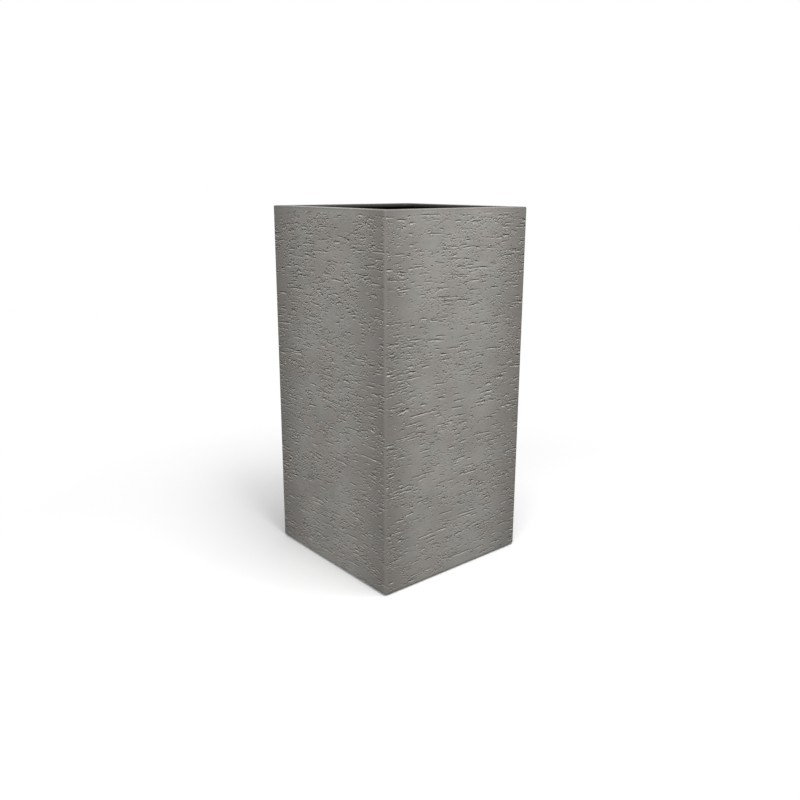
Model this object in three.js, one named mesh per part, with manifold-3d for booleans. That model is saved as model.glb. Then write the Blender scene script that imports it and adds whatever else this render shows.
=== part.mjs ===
// A tall square planter in glass-fibre laminate with a stone-like outer face.
//
// The walls, the rim that turns inwards and the return that turns inwards at the foot are one
// hand-laid moulding, open at the top and the bottom. A base panel lies on the foot return and is
// bonded in with a coved fillet. Four angles bonded to the walls carry a board, the planting
// shelf, so that only the top of the planter has to be filled with soil. The shelf lifts out.
// A rubber plug closes the drain hole in the base panel, and the planter stands on four pads.
//
// Millimetres, +Z up. The origin is on the floor, under the middle of the planter.

import * as THREE from 'three';
import { mergeVertices } from 'three/addons/utils/BufferGeometryUtils.js';
import Module from 'manifold-3d';

const wasm = await Module();
wasm.setup();

// Driving dimensions
const width = 400; // outside, across two opposite faces
const height = 800; // floor to rim
const wall = 5; // laminate of the walls
const outerCornerRadius = 6;
const innerCornerRadius = 14; // laminate builds up in the inside corners
const glueLine = 0.3; // resin between two bonded faces
const seatGap = 0.3; // between a loose piece and what it rests on

// Rim: a flange turned inwards, with a short lip turned down at its inner edge
const rimWidth = 30; // outer face to opening
const rimThickness = 5;
const lipDepth = 8; // top of the rim to the bottom of the lip
const lipThickness = 5;
const rimEdgeRadius = 2.5;
const lipEdgeRadius = 1;
const rootRadius = 8; // fillet where the rim and the foot return leave the wall

// Foot: a return turned inwards that the planter stands on and that carries the base panel
const footReturnWidth = 40; // outer face to its inner edge
const footReturnThickness = 5;
const footEdgeRadius = 4;
const footEdgeShare = 0.8; // the most of the wall and of the return that its rounding may take

// Pads under the foot return
const padRadius = 15;
const padThickness = 2.7;
const padEdge = 0.6; // chamfer
const padInset = 22; // outer face to pad centre

// Base panel, its coved fillet and the drain hole
const panelThickness = 5;
const panelClearance = 0.5; // panel edge to the fillet at the wall's root
const panelCornerRadius = 8;
const coveRadius = 18;
const coveEdge = 1; // thickness of the cove where it feathers out
const drainRadius = 12.5;

// Drain plug
const plugClearance = 0.3; // radial, in the drain hole
const plugTaper = 1.6; // how much the stem's radius shrinks towards its tip
const plugStemLength = 9; // below the head's underside
const plugHeadRadius = 19;
const plugHeadThickness = 4;
const plugEdge = 0.8; // chamfer
const pullTabWidth = 22;
const pullTabHeight = 16; // above the head
const pullTabThickness = 5;

// Planting shelf
const plantingDepth = 280; // rim to the top of the shelf
const shelfThickness = 10;
const shelfClearance = 3; // shelf edge to the lip as the shelf lifts out
const shelfCornerRadius = 12;
const handSlotLength = 90; // end to end
const handSlotWidth = 26;
const handSlotInset = 36; // shelf edge to the slot's centreline
const shelfDrainRadius = 6;
const shelfDrainPitch = 56;
const shelfDrainsPerSide = 4;

// Angles that carry the shelf
const ledgeLeg = 42; // inwards from the wall
const ledgeDrop = 40; // down the wall
const ledgeThickness = 4;
const ledgeRootRadius = 4; // fillet inside the angle
const ledgeEndGap = 0.5; // between the ends of two angles that meet

// Facets
const cornerSteps = 6; // per quarter of a wall corner
const edgeSteps = 3; // per quarter of a rounded edge
const roundSteps = 40; // per turn of a round piece or hole
const tabSteps = 8; // per quarter of the pull tab's round top

// Worked out from the driving dimensions
const half = width / 2;
const footZ = padThickness + glueLine; // underside of the foot return
const footTopZ = footZ + footReturnThickness;
const panelZ = footTopZ + glueLine;
const panelTopZ = panelZ + panelThickness;
const shelfTopZ = height - plantingDepth;
const shelfZ = shelfTopZ - shelfThickness;
const ledgeTopZ = shelfZ - seatGap;
const innerHalf = half - wall;

const coatGrey = new THREE.MeshStandardMaterial({ color: 0x8b8882, roughness: 0.85, metalness: 0 });
const flowcoatBlack = new THREE.MeshStandardMaterial({ color: 0x121212, roughness: 0.6, metalness: 0 });
const resinDark = new THREE.MeshStandardMaterial({ color: 0x1a1a19, roughness: 0.5, metalness: 0 });
const boardGrey = new THREE.MeshStandardMaterial({ color: 0x303031, roughness: 0.6, metalness: 0 });
const rubberBlack = new THREE.MeshStandardMaterial({ color: 0x161616, roughness: 0.9, metalness: 0 });

// The corner points of a square with rounded corners, anticlockwise from above.
function roundedSquare(halfWidth, radius, steps) {
	const centre = halfWidth - radius;
	const points = [];
	for (let corner = 0; corner < 4; corner++) {
		const start = corner * Math.PI / 2;
		const cx = centre * Math.SQRT2 * Math.cos(start + Math.PI / 4);
		const cy = centre * Math.SQRT2 * Math.sin(start + Math.PI / 4);
		for (let i = 0; i <= steps; i++) {
			const angle = start + i / steps * Math.PI / 2;
			points.push(new THREE.Vector2(cx + radius * Math.cos(angle), cy + radius * Math.sin(angle)));
		}
	}
	return points;
}

// Sweeps a closed section round the planter. The section's x is the distance in from the outer
// face and its y is the height. It runs clockwise: up the outside, inwards and down the inside.
function sweepRound(section) {
	const points = section.getPoints(edgeSteps)
		.filter((point, i, all) => point.distanceTo(all.at(i - 1)) > 1e-6);
	const rings = points.map(({ x: inset, y: z }) => {
		const radius = inset < wall ? outerCornerRadius : innerCornerRadius;
		return roundedSquare(half - inset, radius, cornerSteps).map((p) => [p.x, p.y, z]);
	});
	const around = rings[0].length;
	const index = [];
	for (let i = 0; i < rings.length; i++) {
		const next = (i + 1) % rings.length;
		for (let j = 0; j < around; j++) {
			const beside = (j + 1) % around;
			const a = i * around + j;
			const b = i * around + beside;
			const c = next * around + beside;
			const d = next * around + j;
			index.push(a, b, c, a, c, d);
		}
	}
	const geometry = new THREE.BufferGeometry();
	geometry.setAttribute('position', new THREE.Float32BufferAttribute(rings.flat(2), 3));
	geometry.setIndex(index);
	geometry.computeVertexNormals();
	return geometry;
}

// Turns an outline of [radius, height] points about the Z axis.
function turned(outline) {
	const points = outline.map(([r, z]) => new THREE.Vector2(r, z));
	return new THREE.LatheGeometry(points, roundSteps).rotateX(Math.PI / 2);
}

// Joins closed geometries into one.
function joined(...geometries) {
	const solids = geometries.map((geometry) => {
		const bare = geometry.clone();
		bare.deleteAttribute('normal');
		bare.deleteAttribute('uv');
		const merged = mergeVertices(bare, 1e-4);
		return new wasm.Manifold(new wasm.Mesh({
			numProp: 3,
			vertProperties: merged.attributes.position.array,
			triVerts: new Uint32Array(merged.index.array),
		}));
	});
	const mesh = solids.reduce((whole, solid) => whole.add(solid)).getMesh();
	const geometry = new THREE.BufferGeometry();
	geometry.setAttribute('position', new THREE.BufferAttribute(mesh.vertProperties, 3));
	geometry.setIndex(new THREE.BufferAttribute(mesh.triVerts, 1));
	geometry.computeVertexNormals();
	return geometry;
}

// Walls, rim and foot return in one section.
function shellSection() {
	const rimEdge = Math.min(rimEdgeRadius, rimThickness / 2, lipThickness / 2);
	const footEdge = Math.min(footEdgeRadius, footEdgeShare * Math.min(wall, footReturnThickness));
	const lipZ = height - lipDepth;
	const flangeZ = height - rimThickness;
	const quarter = Math.PI / 2;
	const section = new THREE.Path();
	section.moveTo(0, footZ + footEdge);
	section.lineTo(0, height - rimEdge);
	section.absarc(rimEdge, height - rimEdge, rimEdge, 2 * quarter, quarter, true);
	section.lineTo(rimWidth - rimEdge, height);
	section.absarc(rimWidth - rimEdge, height - rimEdge, rimEdge, quarter, 0, true);
	section.lineTo(rimWidth, lipZ + lipEdgeRadius);
	section.absarc(rimWidth - lipEdgeRadius, lipZ + lipEdgeRadius, lipEdgeRadius, 0, -quarter, true);
	section.lineTo(rimWidth - lipThickness, lipZ);
	section.lineTo(rimWidth - lipThickness, flangeZ);
	section.lineTo(wall + rootRadius, flangeZ);
	section.absarc(wall + rootRadius, flangeZ - rootRadius, rootRadius, quarter, 2 * quarter, false);
	section.lineTo(wall, footTopZ + rootRadius);
	section.absarc(wall + rootRadius, footTopZ + rootRadius, rootRadius, 2 * quarter, 3 * quarter, false);
	section.lineTo(footReturnWidth, footTopZ);
	section.lineTo(footReturnWidth, footZ);
	section.lineTo(footEdge, footZ);
	section.absarc(footEdge, footZ + footEdge, footEdge, 3 * quarter, 2 * quarter, true);
	return section;
}

// The coved resin fillet that bonds the base panel to the walls. Where it reaches down into the
// fillet at the root of the foot return, it follows that fillet.
function coveSection() {
	const inset = wall + glueLine;
	const z = panelTopZ + glueLine;
	const top = z + coveEdge + coveRadius;
	const rootTopZ = Math.max(z, footTopZ + rootRadius);
	const followRadius = rootRadius - glueLine;
	const followAngle = Math.asin(Math.min(1, (rootTopZ - z) / followRadius));
	const section = new THREE.Path();
	section.absarc(wall + rootRadius, rootTopZ, followRadius, Math.PI + followAngle, Math.PI, true);
	section.lineTo(inset, top);
	section.lineTo(inset + coveEdge, top);
	section.absarc(inset + coveEdge + coveRadius, top, coveRadius, Math.PI, Math.PI * 1.5, false);
	section.lineTo(inset + coveEdge + coveRadius, z);
	section.closePath();
	return section;
}

// The base panel, with its drain hole.
function basePanel() {
	const panelHalf = innerHalf - rootRadius - panelClearance;
	const outline = new THREE.Shape(roundedSquare(panelHalf, panelCornerRadius, cornerSteps));
	outline.holes.push(new THREE.Path().absarc(0, 0, drainRadius, 0, 2 * Math.PI));
	return new THREE.ExtrudeGeometry(outline, {
		depth: panelThickness,
		bevelEnabled: false,
		curveSegments: roundSteps,
	}).translate(0, 0, panelZ);
}

// The rubber plug: a tapered stem in the drain hole, a head on the panel and a tab to pull it by.
function drainPlug() {
	const stemRadius = drainRadius - plugClearance;
	const stemAndHead = turned([
		[0, -plugStemLength],
		[stemRadius - plugTaper - plugEdge, -plugStemLength],
		[stemRadius - plugTaper, plugEdge - plugStemLength],
		[stemRadius, 0],
		[plugHeadRadius, 0],
		[plugHeadRadius, plugHeadThickness - plugEdge],
		[plugHeadRadius - plugEdge, plugHeadThickness],
		[0, plugHeadThickness],
	]);
	const tabRadius = Math.min(pullTabWidth / 2, pullTabHeight);
	const tabOutline = new THREE.Shape();
	tabOutline.moveTo(-pullTabWidth / 2, -plugHeadThickness / 2);
	tabOutline.lineTo(pullTabWidth / 2, -plugHeadThickness / 2);
	tabOutline.absarc(pullTabWidth / 2 - tabRadius, pullTabHeight - tabRadius, tabRadius, 0, Math.PI / 2);
	tabOutline.absarc(tabRadius - pullTabWidth / 2, pullTabHeight - tabRadius, tabRadius, Math.PI / 2, Math.PI);
	tabOutline.closePath();
	const pullTab = new THREE.ExtrudeGeometry(tabOutline, {
		depth: pullTabThickness,
		bevelEnabled: false,
		curveSegments: tabSteps,
	})
		.translate(0, 0, -pullTabThickness / 2)
		.rotateX(Math.PI / 2)
		.translate(0, 0, plugHeadThickness);
	return joined(stemAndHead, pullTab).translate(0, 0, panelTopZ + seatGap);
}

// One of the pads that the planter stands on.
function footPad() {
	return turned([
		[0, 0],
		[padRadius - padEdge, 0],
		[padRadius, padEdge],
		[padRadius, padThickness - padEdge],
		[padRadius - padEdge, padThickness],
		[0, padThickness],
	]);
}

// A slot with round ends, along Y.
function slotHole(x, length, slotWidth) {
	const radius = slotWidth / 2;
	const reach = length / 2 - radius;
	const slot = new THREE.Path();
	slot.absarc(x, reach, radius, 0, Math.PI);
	slot.absarc(x, -reach, radius, Math.PI, 2 * Math.PI);
	slot.closePath();
	return slot;
}

// The board that carries the soil, with a hand slot at each side and a grid of drain holes.
function plantingShelf() {
	const shelfHalf = half - rimWidth - shelfClearance;
	const outline = new THREE.Shape(roundedSquare(shelfHalf, shelfCornerRadius, cornerSteps));
	for (const side of [-1, 1]) {
		outline.holes.push(slotHole(side * (shelfHalf - handSlotInset), handSlotLength, handSlotWidth));
	}
	const first = -(shelfDrainsPerSide - 1) / 2 * shelfDrainPitch;
	for (let i = 0; i < shelfDrainsPerSide; i++) {
		for (let j = 0; j < shelfDrainsPerSide; j++) {
			const x = first + i * shelfDrainPitch;
			const y = first + j * shelfDrainPitch;
			outline.holes.push(new THREE.Path().absarc(x, y, shelfDrainRadius, 0, 2 * Math.PI));
		}
	}
	return new THREE.ExtrudeGeometry(outline, {
		depth: shelfThickness,
		bevelEnabled: false,
		curveSegments: roundSteps / 2,
	}).translate(0, 0, shelfZ);
}

// An angle of the given length along X, its back against the plane y = 0 and its top at z = 0.
function ledgeAngle(length) {
	const outline = new THREE.Shape();
	outline.moveTo(0, 0);
	outline.lineTo(0, -ledgeDrop);
	outline.lineTo(ledgeThickness, -ledgeDrop);
	outline.lineTo(ledgeThickness, -ledgeThickness - ledgeRootRadius);
	outline.absarc(
		ledgeThickness + ledgeRootRadius, -ledgeThickness - ledgeRootRadius,
		ledgeRootRadius, Math.PI, Math.PI / 2, true,
	);
	outline.lineTo(ledgeLeg, -ledgeThickness);
	outline.lineTo(ledgeLeg, 0);
	outline.closePath();
	return new THREE.ExtrudeGeometry(outline, {
		depth: length,
		bevelEnabled: false,
		curveSegments: edgeSteps,
	})
		.translate(0, 0, -length / 2)
		.applyMatrix4(new THREE.Matrix4().makeBasis(
			new THREE.Vector3(0, 1, 0),
			new THREE.Vector3(0, 0, 1),
			new THREE.Vector3(1, 0, 0),
		));
}

function named(name, geometry, material) {
	const mesh = new THREE.Mesh(geometry, material);
	mesh.name = name;
	return mesh;
}

const planter = new THREE.Group();

planter.add(named('wall_shell', sweepRound(shellSection()), coatGrey));
planter.add(named('base_panel', basePanel(), flowcoatBlack));
planter.add(named('base_bond_cove', sweepRound(coveSection()), resinDark));
planter.add(named('drain_plug', drainPlug(), rubberBlack));
planter.add(named('planting_shelf', plantingShelf(), boardGrey));

// The front and back angles run from corner to corner, and the other two fit between them.
const ledgeBack = innerHalf - glueLine; // plane of an angle's back
const longLedge = 2 * (innerHalf - innerCornerRadius);
const shortLedge = 2 * (ledgeBack - ledgeLeg - ledgeEndGap);
const ledges = [
	['shelf_ledge_front', longLedge],
	['shelf_ledge_right', shortLedge],
	['shelf_ledge_back', longLedge],
	['shelf_ledge_left', shortLedge],
];
ledges.forEach(([name, length], side) => {
	const ledge = named(name, ledgeAngle(length).translate(0, -ledgeBack, 0), flowcoatBlack);
	ledge.rotation.z = side * Math.PI / 2;
	ledge.position.z = ledgeTopZ;
	planter.add(ledge);
});

const padCentre = half - padInset;
const pads = [
	['foot_pad_front_left', -1, -1],
	['foot_pad_front_right', 1, -1],
	['foot_pad_back_right', 1, 1],
	['foot_pad_back_left', -1, 1],
];
for (const [name, x, y] of pads) {
	const pad = named(name, footPad(), rubberBlack);
	pad.position.set(x * padCentre, y * padCentre, 0);
	planter.add(pad);
}

export default planter;
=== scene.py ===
"""The finish of a tall square planter: a glass-fibre laminate shell with a torn, stone-like coat,
round the loose shelf, the bonded base and the rubber parts that it holds. In metres, +Z up."""

import math

import bmesh
import bpy
import numpy as np
from mathutils import Matrix, Vector


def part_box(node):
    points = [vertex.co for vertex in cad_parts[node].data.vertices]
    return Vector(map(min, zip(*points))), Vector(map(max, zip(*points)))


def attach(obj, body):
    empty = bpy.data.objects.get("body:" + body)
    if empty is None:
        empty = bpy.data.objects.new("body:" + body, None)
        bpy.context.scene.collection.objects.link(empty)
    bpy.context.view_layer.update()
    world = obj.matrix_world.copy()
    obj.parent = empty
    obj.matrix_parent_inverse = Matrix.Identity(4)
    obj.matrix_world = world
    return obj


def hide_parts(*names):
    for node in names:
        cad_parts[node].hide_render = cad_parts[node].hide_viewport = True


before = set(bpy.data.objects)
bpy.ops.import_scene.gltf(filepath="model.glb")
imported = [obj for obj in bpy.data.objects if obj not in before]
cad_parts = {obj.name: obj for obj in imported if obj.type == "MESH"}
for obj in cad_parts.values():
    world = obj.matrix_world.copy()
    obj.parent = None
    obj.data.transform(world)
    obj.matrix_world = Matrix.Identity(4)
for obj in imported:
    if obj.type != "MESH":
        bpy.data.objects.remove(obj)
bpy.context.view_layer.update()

scene = bpy.context.scene


# ---- Wall shell -------------------------------------------------------------------------------
# The walls, the rim and the return under the foot are one hand-laid glass-fibre moulding. Its
# outside is trowelled with a stone-filled coat that tears into long level pits as it is dragged.
# The inside keeps the black flowcoat, up to the bottom edge of the lip.

WALL = 0.005
OUTER_CORNER = 0.006
INNER_CORNER = 0.014
RIM_WIDTH = 0.030
RIM_THICKNESS = 0.005
LIP_DEPTH = 0.008
LIP_THICKNESS = 0.005
RIM_EDGE = 0.0025
LIP_EDGE = 0.001
ROOT = 0.008
FOOT_WIDTH = 0.040
FOOT_THICKNESS = 0.005
FOOT_EDGE = 0.004

OUTER_ROWS = 434  # up the outside, close enough together to hold the tears
COLUMNS = 44  # across each wall
CORNER_STEPS = 6  # round each upright corner
EDGE_STEPS = 5  # round each edge and root of the section
SUPPORT = 0.0012  # a ring or column this far from an edge keeps the face beside it flat

TEAR_DEPTH = 0.0010
PAINTED_LIP_REACH = 0.0012  # how far a tear's painted lip shadow and painted lip highlight spread

# The lumps, along X, Y and Z, of the noises that the coat's marks are cut from.
TEAR_LUMP = (0.029, 0.029, 0.0036)
DRAG_LUMP = (0.055, 0.055, 0.0031)  # the longest tears
CRACKLE_LUMP = (0.0060, 0.0060, 0.0024)
PATCH_LUMP = (0.045, 0.045, 0.026)  # where the crackle gathers
SWAY_LUMP = 0.13
SWAY = 0.014  # the trowel's strokes wander up and down by half of this
THRESHOLD = 0.650  # a tear opens where its noise is above this
PATCH_LOWERS = 0.052  # how much lower that is in the middle of a patch

# The coat is whole up to the first distance from an upright corner, the rim or the foot, and torn
# freely from the second. Round the rim, tears fade out between the distances in OUTER_SKIN.
CLEAN_CORNER = (0.001, 0.006)
CLEAN_RIM = (0.004, 0.014)
CLEAN_FOOT = (0.003, 0.009)
OUTER_SKIN = (0.002, 0.004)

COAT, FLOWCOAT = 0, 1  # the shell's two material slots

shell_low, shell_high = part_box("wall_shell")
HALF = shell_high.x
FOOT_Z = shell_low.z
RIM_Z = shell_high.z


def arc(centre, radius, start, end):
    """The points of an arc, from one angle in degrees to another."""
    angles = np.radians(np.linspace(start, end, EDGE_STEPS + 1))
    return [(centre[0] + radius * math.cos(a), centre[1] + radius * math.sin(a)) for a in angles]


def shell_section():
    """Points (distance in from the outer face, height) up the outside, over the rim and down the
    inside, and for each the finish of the band that starts there."""
    flange_z = RIM_Z - RIM_THICKNESS
    lip_z = RIM_Z - LIP_DEPTH
    lip_back = RIM_WIDTH - LIP_THICKNESS
    foot_top = FOOT_Z + FOOT_THICKNESS
    rows = np.linspace(FOOT_Z + FOOT_EDGE, RIM_Z - RIM_EDGE, OUTER_ROWS + 1)
    coat = [
        *arc((FOOT_EDGE, FOOT_Z + FOOT_EDGE), FOOT_EDGE, 270, 180)[:-1],
        *[(0, z) for z in rows],
        *arc((RIM_EDGE, RIM_Z - RIM_EDGE), RIM_EDGE, 180, 90)[1:],
        (RIM_EDGE + SUPPORT, RIM_Z),
        (RIM_WIDTH - RIM_EDGE - SUPPORT, RIM_Z),
        *arc((RIM_WIDTH - RIM_EDGE, RIM_Z - RIM_EDGE), RIM_EDGE, 90, 0),
        *arc((RIM_WIDTH - LIP_EDGE, lip_z + LIP_EDGE), LIP_EDGE, 0, -90),
    ]
    flowcoat = [
        (lip_back + SUPPORT, lip_z),
        (lip_back, lip_z),
        (lip_back, lip_z + SUPPORT),
        (lip_back, flange_z),
        (lip_back - SUPPORT, flange_z),
        (WALL + ROOT + SUPPORT, flange_z),
        *arc((WALL + ROOT, flange_z - ROOT), ROOT, 90, 180),
        (WALL, flange_z - ROOT - SUPPORT),
        (WALL, foot_top + ROOT + SUPPORT),
        *arc((WALL + ROOT, foot_top + ROOT), ROOT, 180, 270),
        (WALL + ROOT + SUPPORT, foot_top),
        (FOOT_WIDTH - SUPPORT, foot_top),
        (FOOT_WIDTH, foot_top),
        (FOOT_WIDTH, foot_top - SUPPORT),
        (FOOT_WIDTH, FOOT_Z + SUPPORT),
        (FOOT_WIDTH, FOOT_Z),
        (FOOT_WIDTH - SUPPORT, FOOT_Z),
        (FOOT_EDGE + SUPPORT, FOOT_Z),
    ]
    return coat + flowcoat, [COAT] * len(coat) + [FLOWCOAT] * len(flowcoat)


def square_ring(inset):
    """The corner points of the shell's rounded square at a distance in from the outer face."""
    radius = OUTER_CORNER if inset < WALL else INNER_CORNER
    half = HALF - inset
    run = half - radius
    along = np.linspace(SUPPORT - run, run - SUPPORT, COLUMNS)
    turn = np.radians(np.linspace(0, 90, CORNER_STEPS + 1))
    side = [(half, y) for y in along]
    side += [(run + radius * math.cos(a), run + radius * math.sin(a)) for a in turn]
    ring = []
    for quarter in range(4):
        c, s = round(math.cos(quarter * math.pi / 2)), round(math.sin(quarter * math.pi / 2))
        ring += [(c * x - s * y, s * x + c * y) for x, y in side]
    return ring


def swept_shell(name):
    """The section carried round the square, as one closed mesh."""
    section, finish = shell_section()
    rings = np.array([[(x, y, z) for x, y in square_ring(inset)] for inset, z in section])
    bands, around = rings.shape[:2]
    band, column = np.meshgrid(np.arange(bands), np.arange(around), indexing="ij")
    above, beside = (band + 1) % bands, (column + 1) % around
    corners = [(band, column), (band, beside), (above, beside), (above, column)]
    faces = np.stack([row * around + place for row, place in corners], axis=-1).reshape(-1, 4)
    mesh = bpy.data.meshes.new(name)
    mesh.from_pydata(rings.reshape(-1, 3).tolist(), [], faces.tolist())
    mesh.polygons.foreach_set("material_index", np.repeat(finish, around))
    mesh.polygons.foreach_set("use_smooth", np.ones(len(mesh.polygons), bool))
    mesh.update()
    made = bpy.data.objects.new(name, mesh)
    scene.collection.objects.link(made)
    return made


class Signal:
    """What a node puts out. Arithmetic on it adds Math nodes to the same tree."""

    def __init__(self, output):
        self.output = output

    def node(self, kind, settings, sockets, out=0):
        """Adds a node: its settings first, then a value or a link on each socket that is named."""
        made = self.output.id_data.nodes.new(kind)
        for name, value in settings.items():
            setattr(made, name, value)
        for key, value in sockets.items():
            if isinstance(value, Signal):
                self.output.id_data.links.new(value.output, made.inputs[key])
            else:
                made.inputs[key].default_value = value
        return Signal(made.outputs[out])

    def math(self, operation, *values):
        return self.node("ShaderNodeMath", {"operation": operation}, dict(enumerate(values)))

    def __add__(self, other):
        return self.math("ADD", self, other)

    def __sub__(self, other):
        return self.math("SUBTRACT", self, other)

    def __rsub__(self, other):
        return self.math("SUBTRACT", other, self)

    def __mul__(self, other):
        return self.math("MULTIPLY", self, other)

    def __abs__(self):
        return self.math("ABSOLUTE", self)

    __radd__, __rmul__ = __add__, __mul__


def noise(p, size, detail=2.0, roughness=0.5, distortion=0.0):
    """Soft noise from 0 to 1 at the point p. Its lumps have one size, or three along X, Y and Z."""
    sizes = size if isinstance(size, tuple) else (size, size, size)
    per_lump = [1 / s for s in sizes]
    scaled = p.node("ShaderNodeVectorMath", {"operation": "MULTIPLY"}, {0: p, 1: per_lump})
    return p.node("ShaderNodeTexNoise", {}, {
        "Vector": scaled, "Scale": 1.0,
        "Detail": detail, "Roughness": roughness, "Distortion": distortion,
    })


def rise(value, low, high):
    """0 at low, 1 at high, smooth between and level beyond. Low may be the greater of the two."""
    return value.node(
        "ShaderNodeMapRange", {"interpolation_type": "SMOOTHSTEP"},
        {"Value": value, "From Min": low, "From Max": high},
    )


def blended(low, high, share):
    """A colour, or another Signal of one, between low at share 0 and high at share 1."""
    return share.node("ShaderNodeMix", {"data_type": "RGBA"}, {0: share, 6: low, 7: high}, out=2)


def shifted(p, x=0.0, y=0.0, z=0.0):
    """The point p moved, to take another part of the same noise."""
    return p.node("ShaderNodeVectorMath", {"operation": "ADD"}, {0: p, 1: (x, y, z)})


def distances(p):
    """How far a point of the shell is in from the outer face, and from the nearest upright corner,
    the rim and the foot."""
    x, y, z = (p.node("ShaderNodeSeparateXYZ", {}, {0: p}, out=i) for i in range(3))
    inset = HALF - p.math("MAXIMUM", abs(x), abs(y))
    corner = HALF - p.math("MINIMUM", abs(x), abs(y))
    return inset, corner, RIM_Z - z, z - FOOT_Z


def past_mouth(p):
    """How far a point of the rim is out from the edge of the mouth, which has rounded corners."""
    centre = HALF - RIM_WIDTH - INNER_CORNER
    across = [abs(p.node("ShaderNodeSeparateXYZ", {}, {0: p}, out=i)) - centre for i in range(2)]
    x, y = (length.math("MAXIMUM", length, 0.0) for length in across)
    square = x * x + y * y
    return square.math("SQRT", square) - INNER_CORNER


def torn_coat(p, drop=0.0, crackled=True):
    """How deep the coat is torn at a drop below the point p of the walls: 0 on its skin, 1 on the
    floor of a tear. Long tears lie everywhere, and short crackle gathers in patches between."""
    sway = noise(p, SWAY_LUMP) - 0.5
    moved = p.node("ShaderNodeCombineXYZ", {}, {"Z": sway * SWAY - drop})
    dragged = p.node("ShaderNodeVectorMath", {"operation": "ADD"}, {0: p, 1: moved})
    busy = rise(noise(shifted(p, 3.1, 1.7, 0.4), PATCH_LUMP), 0.36, 0.60)
    threshold = THRESHOLD - busy * PATCH_LOWERS
    torn = noise(dragged, TEAR_LUMP, detail=3.0, roughness=0.66) - threshold
    drags = rise(noise(shifted(dragged, 4.2, 0.3, 2.6), DRAG_LUMP), 0.660, 0.695)
    tears = drags.math("MAXIMUM", rise(torn, 0.004, 0.032), drags)
    inset, corner, rim, foot = distances(p)
    kept = rise(corner, *CLEAN_CORNER) * rise(rim, *CLEAN_RIM) * rise(foot, *CLEAN_FOOT)
    kept = kept * (1 - rise(inset, *OUTER_SKIN))
    if not crackled:
        return tears * kept
    short = noise(shifted(dragged, 0.7, 2.3, 1.9), CRACKLE_LUMP, roughness=0.6) - threshold
    crackle = rise(short, 0.002, 0.030) * (busy * 0.7 + 0.3)
    return tears.math("MAXIMUM", tears, crackle) * kept


def sink_tears(piece):
    """Sinks the tears into the outside of the shell, as real relief."""
    tree = bpy.data.node_groups.new("torn_relief", "GeometryNodeTree")
    tree.interface.new_socket("Geometry", in_out="INPUT", socket_type="NodeSocketGeometry")
    tree.interface.new_socket("Geometry", in_out="OUTPUT", socket_type="NodeSocketGeometry")
    smooth = Signal(tree.nodes.new("NodeGroupInput").outputs[0])
    place = smooth.node("GeometryNodeInputPosition", {}, {})
    facing = smooth.node("GeometryNodeInputNormal", {}, {})
    sunk = torn_coat(place, crackled=False) * -TEAR_DEPTH
    offset = place.node("ShaderNodeVectorMath", {"operation": "SCALE"}, {0: facing, "Scale": sunk})
    torn = place.node("GeometryNodeSetPosition", {}, {"Geometry": smooth, "Offset": offset})
    tree.links.new(torn.output, tree.nodes.new("NodeGroupOutput").inputs[0])
    modifier = piece.modifiers.new("torn_relief", "NODES")
    modifier.node_group = tree
    graph = bpy.context.evaluated_depsgraph_get()
    final = bpy.data.meshes.new_from_object(piece.evaluated_get(graph))
    piece.modifiers.clear()
    piece.data = final


def paint(code):
    """A colour code as the linear colour that a shader takes."""
    shares = [int(code[i:i + 2], 16) / 255 for i in (0, 2, 4)]
    return (*[c / 12.92 if c <= 0.04045 else ((c + 0.055) / 1.055) ** 2.4 for c in shares], 1.0)


def new_finish(name, **uniform):
    """A material with its uniform values set, its shader node and the point being shaded."""
    material = bpy.data.materials.new(name)
    material.use_nodes = True
    shader = material.node_tree.nodes["Principled BSDF"]
    for socket, value in uniform.items():
        shader.inputs[socket.replace("_", " ")].default_value = value
    place = material.node_tree.nodes.new("ShaderNodeTexCoord").outputs["Object"]
    return material, shader, Signal(place)


def feed(shader, **signals):
    """Links each Signal to the shader's socket of that name."""
    for socket, signal in signals.items():
        signal.output.id_data.links.new(signal.output, shader.inputs[socket.replace("_", " ")])


def bumped(height, distance, over=None):
    """The normal of a surface that is raised by a height, from 0 to 1, times a distance."""
    below = {} if over is None else {"Normal": over}
    sockets = {"Height": height, "Distance": distance, "Strength": 1.0, **below}
    return height.node("ShaderNodeBump", {}, sockets)


SKIN, PALE_SKIN = "878480", "908e8a"
GREENISH, BROWNISH, STREAKED, SPECKLED = "878a84", "8f8781", "7c7873", "777470"
# Painted shade that darkens the walls towards the upright corners.
CORNER_SHADE = "6b6864"
# Painted shade on the rim's outer rounded edge, and painted shade in the rim's pits.
RIM_EDGE_SHADE, PIT_SHADE = "65625e", "5c5955"
# Painted shadow for the tears' upper lips and painted highlight for their lower lips.
TEAR_LIP_SHADOW, TEAR_LIP_HIGHLIGHT = "262422", "d6d2ca"
LIP_FACE_TOP, LIP_FACE_FOOT = "474441", "232221"


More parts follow.
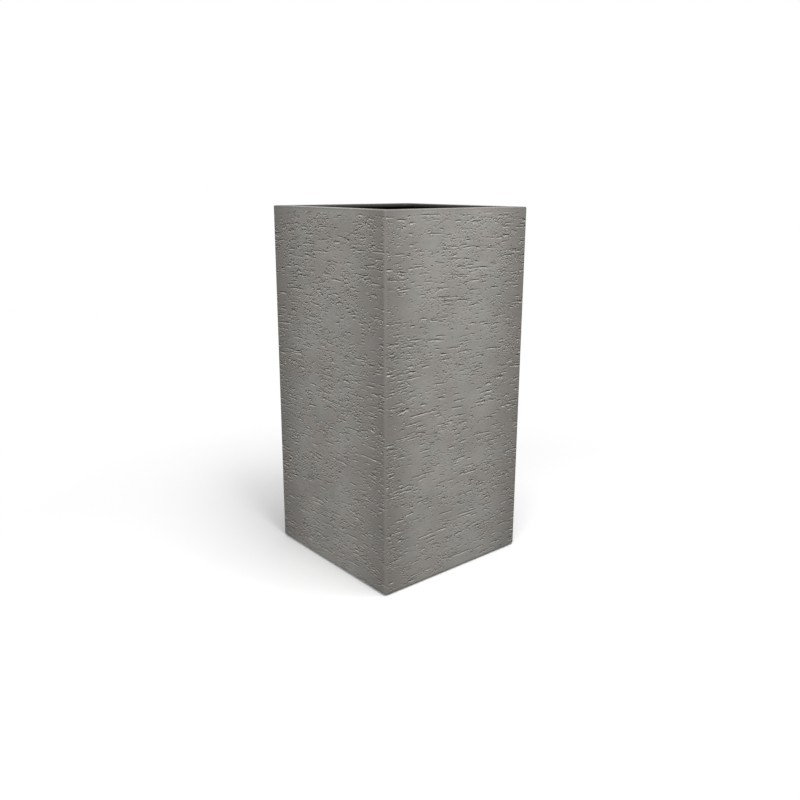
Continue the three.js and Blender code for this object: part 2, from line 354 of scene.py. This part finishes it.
def stone_coat():
    """Warm grey filled coat: cloudy, with painted shade that darkens it towards the corners.
    Painted shadow darkens the overhang at the top of each tear, and a painted highlight lightens
    its lower lip. The rim is pitted, with painted shade in the pits and on its outer rounded edge,
    and the inner face of the shell's own lip darkens downwards."""
    material, shader, p = new_finish("stone_coat", Specular_IOR_Level=0.12)
    torn = torn_coat(p)
    tear_lip_light = torn_coat(p, PAINTED_LIP_REACH) - torn_coat(p, -PAINTED_LIP_REACH)
    clouds = rise(noise(p, (0.09, 0.09, 0.06), detail=3.0), 0.35, 0.65)
    tints = noise(shifted(p, y=7.0), (0.06, 0.06, 0.05), detail=1.0)
    streaks = noise(shifted(p, 5.0), (0.05, 0.05, 0.004))
    speckle = noise(shifted(p, z=9.0), (0.0030, 0.0030, 0.0022), detail=1.0)
    grain = noise(p, 0.0012)
    inset, corner, rim, _ = distances(p)
    skin = blended(paint(SKIN), paint(PALE_SKIN), clouds)
    skin = blended(skin, paint(GREENISH), rise(tints, 0.50, 0.70) * 0.35)
    skin = blended(skin, paint(BROWNISH), rise(tints, 0.50, 0.30) * 0.4)
    skin = blended(skin, paint(STREAKED), rise(streaks, 0.5, 0.75) * 0.3)
    # Painted shade: the skin darkens towards each upright corner.
    skin = blended(paint(CORNER_SHADE), skin, rise(corner, -0.05, 0.14))
    skin = blended(skin, paint(SPECKLED), rise(speckle, 0.45, 0.75) * 0.35)
    # Painted shade over the rim's outer rounded edge, which dims the highlight there.
    rim_edge_shade = (1 - rise(rim, 0.001, 0.005)) * (1 - rise(inset, 0.0010, 0.0028))
    skin = blended(skin, paint(RIM_EDGE_SHADE), rim_edge_shade * 0.7)
    # Painted shadow on each tear's upper lip and painted highlight on its lower lip: light and
    # shade from above, painted into the colour.
    colour = blended(skin, paint(TEAR_LIP_SHADOW), rise(tear_lip_light, 0.12, 0.75) * 0.92)
    colour = blended(colour, paint(TEAR_LIP_HIGHLIGHT), rise(0 - tear_lip_light, 0.15, 0.80) * 0.64)
    # The rim's pits are sunk by the bump and painted darker: painted shade inside the pinholes.
    pits = rise(noise(shifted(p, z=3.0), 0.0045, roughness=0.6), 0.66, 0.72)
    pits = pits * (1 - rise(rim, 0.004, 0.012))
    colour = blended(colour, paint(PIT_SHADE), pits * 0.8)
    lip_face = blended(paint(LIP_FACE_TOP), paint(LIP_FACE_FOOT), rise(rim, 0.0, LIP_DEPTH))
    colour = blended(lip_face, colour, rise(past_mouth(p), RIM_EDGE / 2, RIM_EDGE))
    fine = bumped(grain - pits, 0.0002)
    feed(
        shader,
        Base_Color=colour,
        Roughness=0.82 + torn * 0.12,
        Normal=bumped(torn, TEAR_DEPTH, fine),
    )
    return material


def flowcoat(name):
    """Black pigmented resin over chopped-strand mat, which prints through as crossed ridges."""
    material, shader, p = new_finish(name, Specular_IOR_Level=0.35)
    strands = noise(p, (0.030, 0.0012, 0.0012), detail=1.0, distortion=0.4)
    crossed = noise(p, (0.0012, 0.026, 0.0020), detail=1.0, distortion=0.4)
    upright = noise(p, (0.0014, 0.0014, 0.024), detail=1.0, distortion=0.4)
    lumps = noise(p, 0.016)
    mat = rise(strands, 0.55, 0.72) + rise(crossed, 0.55, 0.72) + rise(upright, 0.55, 0.72)
    uneven = bumped(lumps, 0.0012)
    feed(
        shader,
        Base_Color=blended(paint("0d0d0d"), paint("171716"), lumps),
        Roughness=0.42 + lumps * 0.25,
        Normal=bumped(mat, 0.00025, uneven),
    )
    return material


shell = swept_shell("planter_shell")
black_flowcoat = flowcoat("black_flowcoat")
shell.data.materials.append(stone_coat())
shell.data.materials.append(black_flowcoat)
sink_tears(shell)
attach(shell, "planter")
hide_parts("wall_shell")


# ---- Base panel and its bond ------------------------------------------------------------------
# A flat laminate panel lies on the foot return. It is bonded in from above with a cove of filled
# resin, drawn round the four sides with a gloved finger and left slightly lumpy.

WELD = 1e-6
FLAT = math.radians(0.5)  # faces that meet at less than this become one
SHARP = math.radians(35)  # edges over this are rounded off


def worked_copy(node, name, edge, finish, body):
    """A piece in the place of a CAD node, with a finish, and its sharp edges rounded by an edge."""
    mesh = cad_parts[node].data.copy()
    mesh.name = name
    if "custom_normal" in mesh.attributes:
        mesh.attributes.remove(mesh.attributes["custom_normal"])
    form = bmesh.new()
    form.from_mesh(mesh)
    bmesh.ops.remove_doubles(form, verts=form.verts, dist=WELD)
    bmesh.ops.dissolve_limit(form, angle_limit=FLAT, verts=form.verts, edges=form.edges)
    sharp = [e for e in form.edges if e.is_manifold and e.calc_face_angle() > SHARP]
    bmesh.ops.bevel(
        form, geom=sharp, offset=edge, segments=3, profile=0.5, affect="EDGES", clamp_overlap=True,
    )
    form.to_mesh(mesh)
    form.free()
    mesh.polygons.foreach_set("use_smooth", np.ones(len(mesh.polygons), bool))
    mesh.set_sharp_from_angle(angle=SHARP)
    mesh.materials.clear()
    mesh.materials.append(finish)
    made = bpy.data.objects.new(name, mesh)
    scene.collection.objects.link(made)
    made.modifiers.new("flat_faces", "WEIGHTED_NORMAL").keep_sharp = True
    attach(made, body)
    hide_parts(node)


def bond_resin():
    """Black filled resin, smoothed by hand while wet."""
    material, shader, p = new_finish("bond_resin", Specular_IOR_Level=0.4)
    lumps = noise(p, (0.020, 0.020, 0.012))
    feed(
        shader,
        Base_Color=blended(paint("141413"), paint("201f1d"), lumps),
        Roughness=0.30 + lumps * 0.25,
        Normal=bumped(lumps, 0.002),
    )
    return material


PANEL_EDGE = 0.0006
COVE_EDGE = 0.0004

worked_copy("base_panel", "base_board", PANEL_EDGE, black_flowcoat, "planter")
worked_copy("base_bond_cove", "base_bond", COVE_EDGE, bond_resin(), "planter")


# ---- Drain plug -------------------------------------------------------------------------------
# A moulded rubber bung with a tapered stem, a flat head that seals on the base panel and a tab to
# pull it by. It is only pushed in.

def moulded_rubber(name, grain):
    """Matt black rubber with the fine dull texture of its mould."""
    material, shader, p = new_finish(name, Specular_IOR_Level=0.3)
    clouds = noise(p, 0.01)
    spark = noise(p, grain)
    feed(
        shader,
        Base_Color=blended(paint("131313"), paint("1f1f1e"), clouds),
        Roughness=0.75 + clouds * 0.15,
        Normal=bumped(spark, 0.0001),
    )
    return material


BUNG_EDGE = 0.0006
BUNG_GRAIN = 0.0006

bung_rubber = moulded_rubber("bung_rubber", BUNG_GRAIN)
worked_copy("drain_plug", "drain_bung", BUNG_EDGE, bung_rubber, "plug")


# ---- Shelf ledges -----------------------------------------------------------------------------
# Four laminate angles bonded to the walls carry the shelf. Front and back run from corner to
# corner, and the side ones fit between them.

LEDGE_EDGE = 0.0008

for side in ("front", "right", "back", "left"):
    node, name = f"shelf_ledge_{side}", f"ledge_angle_{side}"
    worked_copy(node, name, LEDGE_EDGE, black_flowcoat, "planter")


# ---- Planting shelf ---------------------------------------------------------------------------
# A loose board of dark recycled plastic, sawn square with its corners rounded. Two hand slots
# are routed in it to lift it by, and a grid of holes is drilled in it to drain the soil.

def shelf_board():
    """Dark grey recycled sheet with a pressed grain, pale flecks and a few scuffs."""
    material, shader, p = new_finish("shelf_board", Specular_IOR_Level=0.35)
    clouds = noise(p, 0.05, detail=3.0)
    flecks = rise(noise(p, 0.0015, detail=0.0), 0.70, 0.76)
    scuffs = rise(noise(p, (0.030, 0.0008, 0.01), detail=1.0, distortion=0.6), 0.68, 0.76)
    pressed = noise(p, 0.0009, detail=1.0)
    colour = blended(paint("2a2a2b"), paint("373738"), clouds)
    colour = blended(colour, paint("636361"), flecks * 0.5 + scuffs * 0.3)
    feed(
        shader,
        Base_Color=colour,
        Roughness=0.50 + clouds * 0.2 + scuffs * 0.1,
        Normal=bumped(pressed, 0.00015),
    )
    return material


BOARD_EDGE = 0.0015

worked_copy("planting_shelf", "shelf_board", BOARD_EDGE, shelf_board(), "shelf")


# ---- Foot pads --------------------------------------------------------------------------------
# Four round rubber pads stuck under the foot return keep the edge of the walls off the floor.

PAD_EDGE = 0.0002
PAD_GRAIN = 0.0008

pad_rubber = moulded_rubber("pad_rubber", PAD_GRAIN)
for corner in ("front_left", "front_right", "back_right", "back_left"):
    worked_copy(f"foot_pad_{corner}", f"pad_{corner}", PAD_EDGE, pad_rubber, "planter")


# ---- Studio -----------------------------------------------------------------------------------
# A white floor and a white surround. A soft lamp stands high in front of the brighter wall, and
# a weaker one near the left wall. A broad one overhead lights the rim and the tears' lower lips.

SURROUND = 0.55  # the light that the surround gives, where the camera sees 1
FLOOR_REACH = 6
FLOOR_SEEN = (0.8, 0.8, 0.8, 1)
FLOOR_CAST = (0.35, 0.35, 0.35, 1)  # the duller white that lights the foot of the walls
FADE = (0.5, 1.1)  # the floor turns plain white between these distances from the middle

low, high = -FLOOR_REACH, FLOOR_REACH
floor_mesh = bpy.data.meshes.new("floor")
floor_mesh.from_pydata(
    [(low, low, 0), (high, low, 0), (high, high, 0), (low, high, 0)], [], [(0, 1, 2, 3)],
)
floor = bpy.data.objects.new("floor", floor_mesh)
scene.collection.objects.link(floor)
floor_finish, floor_shader, point = new_finish("white_floor", Roughness=0.9, Specular_IOR_Level=0.0)
seen = point.node("ShaderNodeLightPath", {}, {})
feed(floor_shader, Base_Color=blended(FLOOR_CAST, FLOOR_SEEN, seen))
away = point.node("ShaderNodeVectorMath", {"operation": "LENGTH"}, {0: point}, out=1)
glow = point.node("ShaderNodeEmission", {}, {"Strength": 1.0})
lit = Signal(floor_shader.outputs[0])
mixed = lit.node("ShaderNodeMixShader", {}, {0: rise(away, *FADE) * seen, 1: lit, 2: glow})
floor_tree = floor_finish.node_tree
floor_tree.links.new(mixed.output, floor_tree.nodes["Material Output"].inputs["Surface"])
floor_mesh.materials.append(floor_finish)

world = bpy.data.worlds.new("studio")
world.use_nodes = True
scene.world = world
sky = world.node_tree.nodes["Background"]
sky.inputs["Color"].default_value = (1, 1, 1, 1)
rays = world.node_tree.nodes.new("ShaderNodeLightPath")
seen = Signal(rays.outputs["Is Camera Ray"])
feed(sky, Strength=seen * (1 - SURROUND) + SURROUND)


def softbox(name, place, aim, width, power):
    """A square soft lamp that looks at a point, with its width and its power in watts."""
    lamp = bpy.data.lights.new(name, "AREA")
    lamp.shape, lamp.size, lamp.energy = "SQUARE", width, power
    made = bpy.data.objects.new(name, lamp)
    made.location = place
    made.rotation_euler = (Vector(aim) - Vector(place)).to_track_quat("-Z", "Y").to_euler()
    scene.collection.objects.link(made)


middle = (0, 0, RIM_Z / 2)
softbox("key", (-0.4, -2.3, 2.4), middle, width=1.2, power=27)
softbox("fill", (-1.7, -1.15, 1.2), middle, width=1.2, power=22)
softbox("overhead", (0.1, -0.55, 2.7), middle, width=1.4, power=50)

scene.view_settings.view_transform = "Standard"


# ---- Camera -----------------------------------------------------------------------------------
# It stands a little above the rim, off the corner between the left and front walls, as in the
# photograph. It is fitted to the corners with a small lens shift, which other views can keep too.

AZIMUTH = -40.07  # degrees, as are the pitch and the roll
DISTANCE = 1.790
EYE = 0.8481
PITCH = 14.24
ROLL = 0.2
SIDEWAYS = 0.0048
LENS = 35.55  # millimetres, as is the sensor
SENSOR = 36.0
SHIFT = -0.02

lens = bpy.data.cameras.new("camera")
lens.lens, lens.sensor_width, lens.shift_y = LENS, SENSOR, SHIFT
camera = bpy.data.objects.new("camera", lens)
turn = Matrix.Rotation(math.radians(AZIMUTH), 4, "Z")
tilt = Matrix.Rotation(math.radians(90 - PITCH), 4, "X")
roll = Matrix.Rotation(math.radians(ROLL), 4, "Z")
camera.matrix_world = turn @ Matrix.Translation((SIDEWAYS, -DISTANCE, EYE)) @ tilt @ roll
scene.collection.objects.link(camera)
scene.camera = camera
